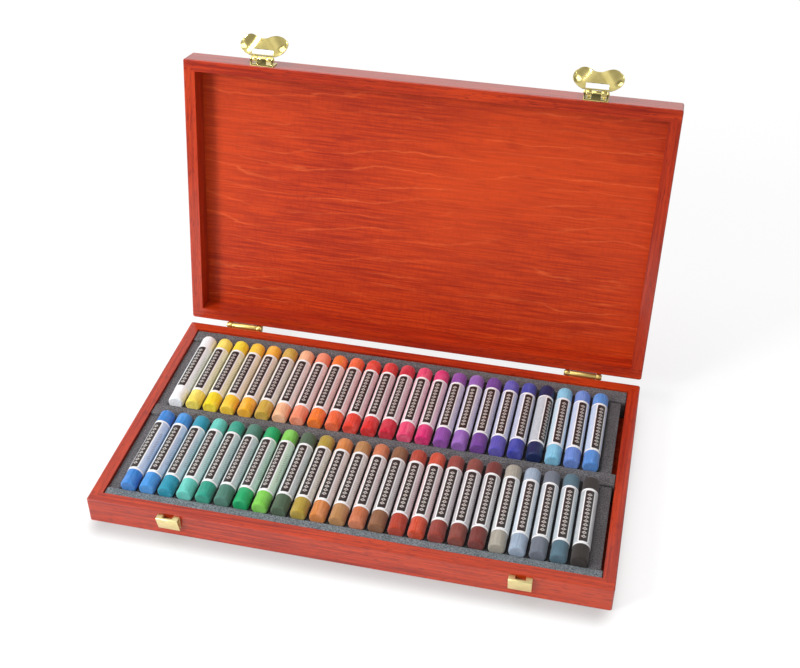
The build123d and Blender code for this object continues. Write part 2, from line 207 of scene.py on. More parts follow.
# in gloss, the far end of the table in front is darker, as the room behind the camera is
table_end = between(tree, place.outputs[1], -0.62, -0.30, 0.12, 1.0)
gloss_tone = times(tree, tone, table_end)
tone = put(tree, "ShaderNodeMix",
           {0: rays.outputs["Is Glossy Ray"], 2: tone, 3: gloss_tone}).outputs[0]
grey = put(tree, "ShaderNodeCombineColor", {0: tone, 1: tone, 2: tone}).outputs[0]
tree.links.new(grey, shader.inputs["Base Color"])
# painted contact shade: the glow is dimmed under the case and fades back over a short reach outside a
# rectangle there, wider in front
from_middle = calc(tree, "ADD", place.outputs[1], SHADE_FORWARD)
beside = calc(tree, "SUBTRACT", size_of(tree, place.outputs[0]), SHADE_HALF_WIDTH)
before = calc(tree, "SUBTRACT", size_of(tree, from_middle), SHADE_HALF_DEPTH)
apart = diagonal(tree, calc(tree, "MAXIMUM", beside, 0.0), calc(tree, "MAXIMUM", before, 0.0))
painted_contact_shade = put(tree, "ShaderNodeMapRange", {0: apart, 1: 0.0, 2: SHADE_REACH, 3: 0.50, 4: 1.08},
            interpolation_type="SMOOTHERSTEP").outputs[0]
glow = put(tree, "ShaderNodeEmission", {0: (1, 1, 1, 1), 1: painted_contact_shade})
away = put(tree, "ShaderNodeVectorMath", {0: spot}, operation="LENGTH").outputs["Value"]
white_out = times(tree, between(tree, away, 0.35, 1.4, 0.70, 1.0), rays.outputs["Is Camera Ray"])
both = put(tree, "ShaderNodeMixShader", {0: white_out, 1: shader.outputs[0], 2: glow.outputs[0]})
tree.links.new(both.outputs[0], tree.nodes["Material Output"].inputs["Surface"])
floor.data.materials.append(paper_white)
print("floor", [round(v, 1) for v in floor.dimensions[:2]])

# %% [markdown]
# The world is the studio round the table. The camera sees plain white, and everything else
# gets a soft, even light. Metal needs something to mirror, so in gloss the world is bright
# behind the case, dark low down on the camera's side, and dimmer overhead and at both sides.

# %% World
world = bpy.data.worlds.new("studio")
bpy.context.scene.world = world
world.use_nodes = True
tree = world.node_tree
tree.nodes.clear()
rays = put(tree, "ShaderNodeLightPath")
direction = put(tree, "ShaderNodeTexCoord").outputs["Generated"]
parts = put(tree, "ShaderNodeSeparateXYZ", {0: direction})
behind_camera = between(tree, parts.outputs[2], 0.10, 0.30, 0.10, 0.75)
backdrop = between(tree, parts.outputs[1], -0.5, 0.25)
around = put(tree, "ShaderNodeMix", {0: backdrop, 2: behind_camera, 3: 1.0}).outputs[0]
overhead = between(tree, parts.outputs[2], 0.68, 0.95, 1.0, 0.30)
sides = between(tree, size_of(tree, parts.outputs[0]), 0.45, 0.90, 1.0, 0.40)
seen_in_gloss = times(tree, times(tree, around, overhead), sides)
soft_light = put(tree, "ShaderNodeBackground", {0: (1, 1, 1, 1), 1: 0.48})
in_gloss = put(tree, "ShaderNodeBackground", {0: (1, 1, 1, 1), 1: seen_in_gloss})
to_camera = put(tree, "ShaderNodeBackground", {0: (1, 1, 1, 1), 1: 1.0})
glossy = put(tree, "ShaderNodeMixShader",
             {0: rays.outputs["Is Glossy Ray"], 1: soft_light.outputs[0], 2: in_gloss.outputs[0]})
shown = put(tree, "ShaderNodeMixShader",
            {0: rays.outputs["Is Camera Ray"], 1: glossy.outputs[0], 2: to_camera.outputs[0]})
put(tree, "ShaderNodeOutputWorld", {0: shown.outputs[0]})
print("world nodes", len(tree.nodes))

# %% [markdown]
# Three soft boxes light the table. The key stands in front at the left and gives the shadow
# that the lid's left wall throws on its panel. One hangs overhead, and one is a weak fill.

# %% Soft boxes
def soft_box(name, place, aim, watts, width):
    """A square area lamp that faces the point it is aimed at."""
    bpy.ops.object.light_add(type="AREA", location=place)
    lamp = bpy.context.object
    lamp.name = name
    lamp.data.energy = watts
    lamp.data.size = width
    lamp.rotation_euler = (Vector(aim) - Vector(place)).to_track_quat("-Z", "Y").to_euler()
    return lamp


key = soft_box("key", (-0.82, -0.80, 0.72), (0, 0.05, 0.08), 10.8, 0.32)
top = soft_box("top", (-0.35, 0.0, 1.2), (0, 0, 0.05), 6.2, 0.8)
fill = soft_box("fill", (0.6, -1.1, 0.9), (0, 0, 0.08), 0.5, 0.9)
print([(lamp.name, lamp.data.energy) for lamp in (key, top, fill)])

# %% [markdown]
# The case is beech, stained a strong orange red and varnished. The stain sinks deeper into
# the soft wood between the fibres, so the colour runs in fine streaks along each board, with
# short dark flecks as beech has them. Stretching a noise along the grain gives both. The
# boards of one frame run in different directions, so each direction has its own finish.

# %% Stained wood
def stained_wood(name, turn, along=0):
    """Red-stained beech whose grain runs along one axis after the turn."""
    made, tree, shader = new_finish(name, Coat_Weight=0.75, Coat_Roughness=0.12)
    shader.inputs["Specular IOR Level"].default_value = 0.2

    def grain(lengthwise, across):
        scale = [across, across, across]
        scale[along] = lengthwise
        return stretched(tree, scale, turn)

    streak = noise(tree, grain(16, 640), detail=5.0, rough=0.68)
    band = noise(tree, grain(5, 90), detail=3.0, distort=0.4)
    cloud = noise(tree, grain(9, 26), detail=2.0)
    fleck = between(tree, noise(tree, grain(150, 1300), detail=1.0), 0.58, 0.68)
    base = blend(tree, between(tree, streak, 0.36, 0.62),
                 linear(0.53, 0.095, 0.02), linear(0.775, 0.225, 0.055))
    base = blend(tree, between(tree, band, 0.38, 0.66, 0.0, 0.55), base, linear(0.59, 0.12, 0.035))
    base = blend(tree, between(tree, cloud, 0.40, 0.70, 0.0, 0.40), base, linear(0.83, 0.28, 0.075))
    base = blend(tree, times(tree, fleck, 0.55), base, linear(0.45, 0.08, 0.04))
    tree.links.new(base, shader.inputs["Base Color"])
    rough = between(tree, streak, 0.2, 0.8, 0.46, 0.34)
    tree.links.new(rough, shader.inputs["Roughness"])
    height = calc(tree, "SUBTRACT", streak, times(tree, fleck, 0.5))
    relief(tree, shader, height, 0.00006)
    return made


lengthwise_wood = stained_wood("stained_beech_lengthwise", (0, 0, 0), 0)
crosswise_wood = stained_wood("stained_beech_crosswise", (0, 0, 0), 1)
lid_long_wood = stained_wood("stained_beech_lid_rail", (-LEAN, 0, 0), 0)
lid_side_wood = stained_wood("stained_beech_lid_side", (-LEAN, 0, 0), 1)
print("four directions of stained beech")

# %% [markdown]
# The lid's panel and the case's floor are plywood. Its face veneer is peeled from the log
# like paper from a roll, so the rings show as long wavy lines and flat arches instead of
# straight streaks. Here a ring is the distance across the grain, pushed about by two noises
# and cut into equal steps. A thin pale line marks each step and is broken up by a third noise.

# %% Stained plywood
RINGS_PER_METRE = 96.0


def stained_plywood(name, turn):
    """Red-stained rotary-cut veneer whose grain runs along X after the turn."""
    made, tree, shader = new_finish(name, Coat_Weight=0.12, Coat_Roughness=0.25)
    shader.inputs["Specular IOR Level"].default_value = 0.2
    wide = stretched(tree, (3.2, 9.0, 9.0), turn)
    warp = noise(tree, wide, detail=2.0, rough=0.5)
    where = stretched(tree, (1.0, 1.0, 1.0), turn)
    split = put(tree, "ShaderNodeSeparateXYZ", {0: where})
    # rings: distance across the grain, pushed about by the wide warp
    wander = noise(tree, stretched(tree, (26, 90, 90), turn), detail=3.0, rough=0.6)
    pushed = calc(tree, "ADD", times(tree, warp, 8.5), times(tree, wander, 1.1))
    across = calc(tree, "ADD", times(tree, split.outputs[1], RINGS_PER_METRE), pushed)
    off_middle = size_of(tree, calc(tree, "SUBTRACT", calc(tree, "FRACT", across), 0.5))
    broken = between(tree, noise(tree, stretched(tree, (17, 70, 70), turn), detail=2.0), 0.40, 0.62)
    line = times(tree, broken, between(tree, off_middle, 0.41, 0.5))
    fine = noise(tree, stretched(tree, (30, 800, 800), turn), detail=5.0, rough=0.68)
    ray = noise(tree, stretched(tree, (620, 150, 150), turn), detail=2.0)
    mottle = noise(tree, stretched(tree, (60, 150, 150), turn), detail=3.0)
    pool = noise(tree, stretched(tree, (5.0, 7.0, 7.0), turn), detail=1.0)
    base = blend(tree, between(tree, fine, 0.36, 0.62),
                 linear(0.60, 0.135, 0.035), linear(0.79, 0.245, 0.055))
    base = blend(tree, between(tree, ray, 0.48, 0.70, 0.0, 0.30), base, linear(0.60, 0.125, 0.045))
    base = blend(tree, between(tree, pool, 0.42, 0.68, 0.0, 0.55), base, linear(0.85, 0.29, 0.075))
    base = blend(tree, times(tree, line, 0.45), base, linear(0.92, 0.42, 0.20))
    base = blend(tree, between(tree, mottle, 0.55, 0.75, 0.0, 0.30), base, linear(0.58, 0.115, 0.045))
    tree.links.new(base, shader.inputs["Base Color"])
    rough = between(tree, fine, 0.2, 0.8, 0.50, 0.38)
    tree.links.new(rough, shader.inputs["Roughness"])
    relief(tree, shader, fine, 0.00005)
    return made


lid_plywood = stained_plywood("stained_plywood_lid", (-LEAN, 0, 0))
floor_plywood = stained_plywood("stained_plywood_floor", (0, 0, 0))
print("plywood ready")

# %% [markdown]
# The CAD walls and panels keep their shapes and only get these finishes.

# %% Finish the walls and panels
def give(node, finish):
    """Puts one material on a CAD piece."""
    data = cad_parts[node].data
    data.materials.clear()
    data.materials.append(finish)


for wall in ("front", "back"):
    give(f"base_{wall}_wall", lengthwise_wood)
    give(f"lid_{wall}_wall", lid_long_wood)
for wall in ("left", "right"):
    give(f"base_{wall}_wall", crosswise_wood)
    give(f"lid_{wall}_wall", lid_side_wood)
give("lid_panel", lid_plywood)
give("base_bottom_panel", floor_plywood)
print("ten wooden pieces finished")

# %% [markdown]
# The fittings are pressed from thin brass sheet and plated. Brass is a metal, so its colour
# tints what it mirrors. Uneven roughness and very fine drawing marks keep it from looking
# like a perfect mirror, and where it is smudged it is duller and a little browner.

# %% Brass
def brass_finish(name, colour, smooth, dull):
    """Plated brass whose roughness runs from smooth to dull where it is smudged."""
    made, tree, shader = new_finish(name, Metallic=1.0)
    smudge = noise(tree, stretched(tree, (260, 260, 260)), detail=3.0)
    drawn = noise(tree, stretched(tree, (300, 5000, 5000)), detail=2.0)
    worn = calc(tree, "ADD", times(tree, smudge, 0.7), times(tree, drawn, 0.3))
    rough = between(tree, worn, 0.35, 0.70, smooth, dull)
    tree.links.new(rough, shader.inputs["Roughness"])
    tone = blend(tree, between(tree, smudge, 0.35, 0.75, 0.0, 0.5), linear(*colour),
                 linear(colour[0] * 0.88, colour[1] * 0.86, colour[2] * 0.74))
    tree.links.new(tone, shader.inputs["Base Color"])
    relief(tree, shader, drawn, 0.00001)
    return made


bright_brass = brass_finish("bright_brass", (0.93, 0.86, 0.56), 0.12, 0.24)
satin_brass = brass_finish("satin_brass", (0.93, 0.885, 0.66), 0.32, 0.44)
hinge_brass = brass_finish("hinge_brass", (0.84, 0.74, 0.45), 0.28, 0.42)
for side in ("left", "right"):
    give(f"{side}_catch_pin", bright_brass)
    give(f"{side}_hinge_pin", hinge_brass)
give("catch_bracket_nails", bright_brass)
print("brass ready")

# %% [markdown]
# New pieces are modelled in the same few steps: add a primitive, apply its place so that the
# numbers in edit mode are real places, then pick edges and faces by where they lie.

# %% Modelling helpers
def begin(name):
    """Names the primitive that was just added and applies its place."""
    made = bpy.context.object
    made.name = made.data.name = name
    bpy.ops.object.transform_apply(location=True, rotation=True, scale=True)
    return made


def only(piece):
    """Selects one piece and nothing else."""
    bpy.ops.object.select_all(action="DESELECT")
    piece.select_set(True)
    bpy.context.view_layer.objects.active = piece


def edit(piece):
    """Opens a piece in edit mode with nothing selected."""
    only(piece)
    bpy.ops.object.mode_set(mode="EDIT")
    bpy.ops.mesh.select_all(action="DESELECT")


def pick(piece, kind, test):
    """In edit mode, selects just the vertices, edges or faces that pass a test."""
    bpy.ops.mesh.select_mode(type=kind)
    bpy.ops.mesh.select_all(action="DESELECT")
    mesh = bmesh.from_edit_mesh(piece.data)
    found = [part for part in {"VERT": mesh.verts, "EDGE": mesh.edges, "FACE": mesh.faces}[kind]
             if test(part)]
    for part in found:
        part.select_set(True)
    bmesh.update_edit_mesh(piece.data)


def done():
    bpy.ops.object.mode_set(mode="OBJECT")


def modify(piece, kind, **settings):
    """Adds a modifier and applies it at once."""
    only(piece)
    modifier = piece.modifiers.new(kind.title(), kind)
    for key, value in settings.items():
        setattr(modifier, key, value)
    bpy.ops.object.modifier_apply(modifier=modifier.name)


def smooth(piece, degrees):
    """Shades smooth across edges that turn by less than the angle."""
    only(piece)
    bpy.ops.object.shade_smooth_by_angle(angle=math.radians(degrees))


def twin(piece, name, matrix):
    """A copy with its own mesh, moved by the matrix in its mesh."""
    made = piece.copy()
    made.data = piece.data.copy()
    made.name = made.data.name = name
    made.data.transform(matrix)
    bpy.context.scene.collection.objects.link(made)
    return made


def remove(piece):
    bpy.data.objects.remove(piece)


def middle(edge):
    return (edge.verts[0].co + edge.verts[1].co) / 2


def add_box(name, corner, far_corner):
    """A box between two corners, in millimetres."""
    corner, far_corner = Vector(corner) * MM, Vector(far_corner) * MM
    bpy.ops.mesh.primitive_cube_add(size=1, location=(corner + far_corner) / 2,
                                    scale=far_corner - corner)
    return begin(name)


print("modelling helpers ready")

# %% [markdown]
# The pastels lie in grey foam with open cells. Cut foam shows a salt-and-pepper speckle,
# because some cells catch the light and others are dark holes. It is also dead matt. The
# speckle is a fine noise, and a coarser one lets it drift a little.

# %% Foam finish
# in metres, as a shader measures
# where the rows of pastels lie, for the painted shade on the beds
ROW_CENTRE = -0.0015
ROW_HALF_LENGTH = 0.1475
ROW_FADE = 0.0015


def foam_finish(name, light, dark, painted_row_shade=False):
    """Speckled foam, darkened by a painted shade where the rows of pastels lie if that is asked for.
    """
    made, tree, shader = new_finish(name, Roughness=1.0, Sheen_Weight=0.15, Sheen_Roughness=0.6)
    shader.inputs["Specular IOR Level"].default_value = 0.15
    cell = noise(tree, stretched(tree, (1100, 1100, 1100)), detail=2.0, rough=0.7)
    drift = noise(tree, stretched(tree, (70, 70, 70)), detail=2.0)
    base = blend(tree, between(tree, cell, 0.36, 0.66), linear(*dark), linear(*light))
    base = blend(tree, between(tree, drift, 0.35, 0.7, 0.0, 0.3), base, linear(*dark))
    if painted_row_shade:
        # painted shade: little light reaches the foam between the pastels, so its colour is darkened
        # almost to black there
        split = put(tree, "ShaderNodeSeparateXYZ", {0: stretched(tree, (1, 1, 1))})
        off_centre = size_of(tree, calc(tree, "ADD", split.outputs[0], -ROW_CENTRE))
        inside = between(tree, off_centre, ROW_HALF_LENGTH, ROW_HALF_LENGTH + ROW_FADE, 0.75, 0.0)
        base = blend(tree, inside, base, linear(0.09, 0.09, 0.095))
    tree.links.new(base, shader.inputs["Base Color"])
    relief(tree, shader, cell, 0.0004)
    return made


grey_foam = foam_finish("grey_foam", (0.50, 0.49, 0.50), (0.24, 0.235, 0.245))
bed_foam = foam_finish("grey_foam_bed", (0.48, 0.47, 0.48), (0.23, 0.225, 0.235), True)
cool_foam = foam_finish("grey_foam_front", (0.56, 0.59, 0.61), (0.28, 0.31, 0.33))
print("foam finish ready")

# %% [markdown]
# Three plain strips run right across the case. They are cut from a sheet, so each is a bar
# whose long edges are a little soft and whose faces are not quite flat. A box gets its
# edges bevelled, is cut into short lengths, and the points near its top are nudged at random.

# %% Foam strips
LONG_EDGE = 100.0
NEAR_TOP = 1.2


def foam_strip(node, finish, seed):
    """A soft-edged bar in the place of a plain foam strip."""
    corner, far_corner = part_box(node)
    strip = add_box(node + "_soft", corner / MM, far_corner / MM)
    edit(strip)
    bpy.ops.mesh.select_all(action="SELECT")
    bpy.ops.mesh.bevel(offset=0.7 * MM, segments=3, affect="EDGES")
    pick(strip, "EDGE", lambda e: e.calc_length() > LONG_EDGE * MM)
    bpy.ops.mesh.subdivide(number_cuts=70)
    pick(strip, "VERT", lambda v: v.co.z > far_corner.z - NEAR_TOP * MM)
    bpy.ops.transform.vertex_random(offset=0.12 * MM, uniform=0.5, normal=0.5, seed=seed)
    done()
    smooth(strip, 50)
    strip.data.materials.append(finish)
    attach(strip, "case_base")
    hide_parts(node)
    print(strip.name, len(strip.data.polygons), "faces")


foam_strip("foam_back_strip", grey_foam, 3)
foam_strip("foam_middle_strip", grey_foam, 5)
foam_strip("foam_front_strip", cool_foam, 8)

# %% [markdown]
# Two beds hold the rows. Each has a half-round groove under every pastel, and the ridges
# between the grooves stand below the sticks' middles. The bed is a block, and a row of
# cylinders is cut out of it with a Boolean, as a hot wire would cut it. One cylinder and an
# Array give the whole row.

# %% Grooved foam beds
ROWS = {"back": {"near": 3.7, "pitch": 12.3, "seed": 50},
        "front": {"near": -80.5, "pitch": 12.4, "seed": 0}}
STICKS_IN_ROW = 24
WIRE_LENGTH = 90.0
FIRST_STICK = -143.1
PASTEL_HEIGHT = 19.0
GROOVE_RADIUS = 5.96


def foam_bed(row):
    """A block of foam with one groove for each pastel of the row."""
    node = f"foam_{row}_bed"
    corner, far_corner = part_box(node)
    bed = add_box(node + "_soft", corner / MM, far_corner / MM)
    place = Vector((FIRST_STICK, 0, PASTEL_HEIGHT)) * MM
    place.y = (corner.y + far_corner.y) / 2
    bpy.ops.mesh.primitive_cylinder_add(vertices=48, radius=GROOVE_RADIUS * MM,
                                        depth=WIRE_LENGTH * MM, location=place,
                                        rotation=(math.pi / 2, 0, 0))
    wire = begin("hot_wire")
    modify(wire, "ARRAY", count=STICKS_IN_ROW, use_relative_offset=False, use_constant_offset=True,
           constant_offset_displace=(ROWS[row]["pitch"] * MM, 0, 0))
    modify(bed, "BOOLEAN", object=wire, operation="DIFFERENCE", solver="EXACT")
    remove(wire)
    modify(bed, "BEVEL", width=0.3 * MM, segments=2, limit_method="ANGLE",
           angle_limit=math.radians(40))
    smooth(bed, 40)
    bed.data.materials.append(bed_foam)
    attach(bed, "case_base")
    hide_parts(node)
    print(bed.name, len(bed.data.polygons), "faces")


foam_bed("back")
foam_bed("front")

# %% [markdown]
# A pastel is pigment pressed with a little oil or gum. It is dusty and matt, with fine
# streaks along the stick where it slid out of the mould and paler specks of loose dust. One
# recipe serves every colour, because it reads each stick's own pigment from its mesh. It is
# used twice, for dusty sticks and for a smoother, rubbed look.

# %% Pastel finish
def pastel_finish(name, rough, dust):
    """Pressed pigment, at most so rough, with dust as a soft sheen."""
    made, tree, shader = new_finish(name, Sheen_Weight=dust, Sheen_Roughness=0.5)
    shader.inputs["Specular IOR Level"].default_value = 0.3
    pigment = put(tree, "ShaderNodeAttribute", attribute_name="pigment").outputs["Color"]
    streak = noise(tree, stretched(tree, (1300, 60, 1300)), detail=3.0, rough=0.6)
    cloud = noise(tree, stretched(tree, (180, 120, 180)), detail=3.0)
    grain = noise(tree, stretched(tree, (2600, 2600, 2600)), detail=1.0)
    darker = put(tree, "ShaderNodeHueSaturation",
                 {"Saturation": 1.08, "Value": 0.75, "Color": pigment}).outputs[0]
    paler = put(tree, "ShaderNodeHueSaturation",
                {"Saturation": 0.86, "Value": 1.12, "Color": pigment}).outputs[0]
    base = blend(tree, between(tree, streak, 0.33, 0.68), darker, pigment)
    base = blend(tree, between(tree, cloud, 0.45, 0.75, 0.0, 0.55), base, paler)
    base = blend(tree, between(tree, grain, 0.58, 0.72, 0.0, 0.50), base, paler)
    tree.links.new(base, shader.inputs["Base Color"])
    level = between(tree, cloud, 0.3, 0.7, rough - 0.08, rough)
    tree.links.new(level, shader.inputs["Roughness"])
    height = calc(tree, "ADD", streak, times(tree, grain, 0.5))
    relief(tree, shader, height, 0.00008)
    return made


dusty_pastel = pastel_finish("dusty_pastel", 0.92, 0.25)
rubbed_pastel = pastel_finish("rubbed_pastel", 0.46, 0.05)
print("pastel finishes ready")

# %% [markdown]
# The stick is turned from a cylinder. Its near end is pressed flat with a narrow bevel, and
# its far end is rounder. The long edges are divided only where the stick is bare, because
# the sleeve hides the middle.

# %% One stick
STICK_RADIUS = 5.2
STICK_LENGTH = 72.0
BARE_FROM = 0.30 * STICK_LENGTH      # from the middle, just inside the sleeve's end


def turned_stick():
    bpy.ops.mesh.primitive_cylinder_add(vertices=40, radius=STICK_RADIUS * MM,
                                        depth=STICK_LENGTH * MM, location=(0, 0, 0),
                                        rotation=(math.pi / 2, 0, 0))
    stick = begin("stick_pattern")
    end = STICK_LENGTH / 2 * MM
    edit(stick)
    for place in (-BARE_FROM, BARE_FROM):
        bpy.ops.mesh.select_all(action="SELECT")
        bpy.ops.mesh.bisect(plane_co=(0, place * MM, 0), plane_no=(0, 1, 0))
    pick(stick, "EDGE", lambda e: abs(middle(e).y + end) < 1e-6)
    bpy.ops.mesh.bevel(offset=1.25 * MM, segments=4, profile=0.5, affect="EDGES")
    pick(stick, "EDGE", lambda e: abs(middle(e).y - end) < 1e-6)
    bpy.ops.mesh.bevel(offset=1.9 * MM, segments=5, profile=0.5, affect="EDGES")
    pick(stick, "FACE", lambda f: abs(f.normal.y) > 0.999)
    bpy.ops.mesh.inset(thickness=0.5 * MM, depth=-0.08 * MM)
    bpy.ops.mesh.inset(thickness=1.2 * MM)
    bpy.ops.mesh.inset(thickness=1.2 * MM)
    pick(stick, "EDGE", lambda e: abs(e.verts[0].co.y - e.verts[1].co.y) > 8 * MM
         and abs(middle(e).y) > BARE_FROM * MM)
    bpy.ops.mesh.subdivide(number_cuts=4)
    done()
    return stick


stick_pattern = turned_stick()
print("stick", len(stick_pattern.data.polygons), "faces",
      [round(v / MM, 2) for v in stick_pattern.dimensions])

# %% [markdown]
# The sleeve is a label rolled round the middle of the stick. It is a tube with walls of
# paper, and where the label overlaps itself one narrow part stands out by the paper's
# thickness. Its print follows the paper, so it is mapped round the tube: one axis of the map
# goes round, the other along.

# %% One sleeve
SLEEVE_LENGTH = 48.0
SLEEVE_RADIUS = 5.27
PAPER = 0.14
STEP_UP = 0.8 * PAPER      # how far the overlap stands out
OVERLAP_FROM, OVERLAP_TO = -175, -140      # degrees round from the top


def rolled_sleeve():
    bpy.ops.mesh.primitive_cylinder_add(vertices=48, radius=SLEEVE_RADIUS * MM,
                                        depth=SLEEVE_LENGTH * MM, end_fill_type="NOTHING",
                                        rotation=(math.pi / 2, 0, 0))
    sleeve = begin("sleeve_pattern")
    modify(sleeve, "SOLIDIFY", thickness=PAPER * MM, offset=1.0)
    edit(sleeve)

    def overlap(face):
        centre = face.calc_center_median()
        round_it = math.degrees(math.atan2(centre.x, centre.z))
        outer = math.hypot(centre.x, centre.z) > (SLEEVE_RADIUS + STEP_UP) * MM
        return outer and OVERLAP_FROM < round_it < OVERLAP_TO

    pick(sleeve, "FACE", overlap)
    bpy.ops.mesh.extrude_region_shrink_fatten(
        TRANSFORM_OT_shrink_fatten={"value": STEP_UP * MM, "use_even_offset": True})
    bpy.ops.mesh.select_all(action="SELECT")
    bpy.ops.mesh.normals_make_consistent(inside=False)
    done()
    smooth(sleeve, 40)
    sleeve.data.uv_layers.new(name="print")
    for extra in [layer.name for layer in sleeve.data.uv_layers if layer.name != "print"]:
        sleeve.data.uv_layers.remove(sleeve.data.uv_layers[extra])
    print_map = sleeve.data.uv_layers["print"]
    for face in sleeve.data.polygons:
        home = math.atan2(face.center.x, face.center.z) / math.tau
        for corner in face.loop_indices:
            point = sleeve.data.vertices[sleeve.data.loops[corner].vertex_index].co
            turn = math.atan2(point.x, point.z) / math.tau
            turn += round(home - turn)
            print_map.data[corner].uv = (turn + 0.5, point.y / (SLEEVE_LENGTH * MM) + 0.5)
    return sleeve


sleeve_pattern = rolled_sleeve()
print("sleeve", len(sleeve_pattern.data.polygons), "faces")

# %% [markdown]
# The print is a dark panel with rounded corners on paper that is tinted like the stick, with
# a white line round the panel and white ends. Distances on the map, in millimetres, decide
# which ink lies where. A plain row of lozenges runs down the panel, with short slanting
# strokes beside it.

# %% Label finish
PANEL_HALF_WIDTH = 2.75
PANEL_HALF_LENGTH = 22.0
PANEL_CORNER = 0.9
WHITE_LINE = 0.8
WHITE_END = 1.4
LOZENGE_STEP = 3.3
LOZENGE_HALF_WIDTH, LOZENGE_HALF_HEIGHT = 1.75, 1.35
LOZENGES_END = 19.7
STROKES_AT, STROKES_HALF_WIDTH = 6.4, 1.0
STROKES_END = 13.0
STROKE_STEP, STROKE_SLANT = 1.7, 0.9


def label_finish():
    """Printed paper, laid out in millimetres from the middle of the panel."""
    made, tree, shader = new_finish("printed_label", Coat_Weight=0.1, Coat_Roughness=0.3)
    pigment = put(tree, "ShaderNodeAttribute", attribute_name="pigment").outputs["Color"]
    on_paper = put(tree, "ShaderNodeUVMap", uv_map="print").outputs[0]
    split = put(tree, "ShaderNodeSeparateXYZ", {0: on_paper})
    girth = math.tau * (SLEEVE_RADIUS + PAPER)
    across = times(tree, calc(tree, "SUBTRACT", split.outputs[0], 0.5), girth)
    along = times(tree, calc(tree, "SUBTRACT", split.outputs[1], 0.5), SLEEVE_LENGTH)
    wide, tall = size_of(tree, across), size_of(tree, along)
    dx = calc(tree, "SUBTRACT", wide, PANEL_HALF_WIDTH - PANEL_CORNER)
    dy = calc(tree, "SUBTRACT", tall, PANEL_HALF_LENGTH - PANEL_CORNER)
    outside = diagonal(tree, calc(tree, "MAXIMUM", dx, 0.0), calc(tree, "MAXIMUM", dy, 0.0))
    inside = calc(tree, "MINIMUM", calc(tree, "MAXIMUM", dx, dy), 0.0)
    from_panel = calc(tree, "SUBTRACT", calc(tree, "ADD", outside, inside), PANEL_CORNER)
    fibre = noise(tree, stretched(tree, (1400, 500, 1400)), detail=3.0)
    wear = noise(tree, stretched(tree, (500, 350, 500)), detail=4.0, rough=0.7)
    white = blend(tree, between(tree, fibre, 0.3, 0.7), linear(0.90, 0.905, 0.91),
                  linear(0.965, 0.97, 0.975))
    tint = blend(tree, 0.37, linear(0.87, 0.91, 0.93), pigment)
    tint = blend(tree, between(tree, wear, 0.45, 0.75, 0.0, 0.35), tint, white)
    end = SLEEVE_LENGTH / 2 - WHITE_END
    ends = between(tree, tall, end, end + 0.2)
    ink = blend(tree, between(tree, wear, 0.55, 0.8, 0.0, 0.22), linear(0.13, 0.105, 0.10),
                linear(0.35, 0.32, 0.31))
    # a row of pale lozenges down the panel
    step = calc(tree, "FRACT", calc(tree, "DIVIDE", along, LOZENGE_STEP))
    cell = times(tree, LOZENGE_STEP, calc(tree, "SUBTRACT", step, 0.5))
    lozenge = calc(tree, "ADD", calc(tree, "DIVIDE", wide, LOZENGE_HALF_WIDTH),
                   calc(tree, "DIVIDE", size_of(tree, cell), LOZENGE_HALF_HEIGHT))
    framed = times(tree, between(tree, lozenge, 0.94, 1.02, 1.0, 0.0),
                   between(tree, lozenge, 0.34, 0.42))
    on_row = between(tree, tall, LOZENGES_END, LOZENGES_END + 0.1, 1.0, 0.0)
    ornament = times(tree, times(tree, framed, on_row), 0.85)
    # short slanting strokes beside it
    slanted = calc(tree, "SUBTRACT", along, times(tree, across, STROKE_SLANT))
    slant = calc(tree, "FRACT", calc(tree, "DIVIDE", slanted, STROKE_STEP))
    off_strokes = size_of(tree, calc(tree, "SUBTRACT", across, STROKES_AT))
    beside = times(tree, between(tree, off_strokes, STROKES_HALF_WIDTH,
                                 STROKES_HALF_WIDTH + 0.1, 1.0, 0.0),
                   between(tree, tall, STROKES_END, STROKES_END + 0.2, 1.0, 0.0))
    stroke = times(tree, times(tree, beside, 0.5), between(tree, slant, 0.26, 0.34, 1.0, 0.0))
    tint = blend(tree, stroke, tint, linear(0.30, 0.28, 0.29))
    ink = blend(tree, ornament, ink, linear(0.80, 0.78, 0.76))
    base = blend(tree, ends, tint, white)
    base = blend(tree, between(tree, from_panel, WHITE_LINE - 0.1, WHITE_LINE + 0.1, 1.0, 0.0),
                 base, white)
    base = blend(tree, between(tree, from_panel, -0.08, 0.08, 1.0, 0.0), base, ink)
    tree.links.new(base, shader.inputs["Base Color"])
    rough = between(tree, fibre, 0.3, 0.7, 0.42, 0.58)
    tree.links.new(rough, shader.inputs["Roughness"])
    relief(tree, shader, fibre, 0.00003)
    return made


printed_label = label_finish()
print("label ready")

# %% [markdown]
# There are 48 pastels in twelve families of four neighbours. Each has a plain name and its
# red, green and blue from 0 to 1. The turn says how far its label has rolled from lying
# straight up, in degrees to the right.

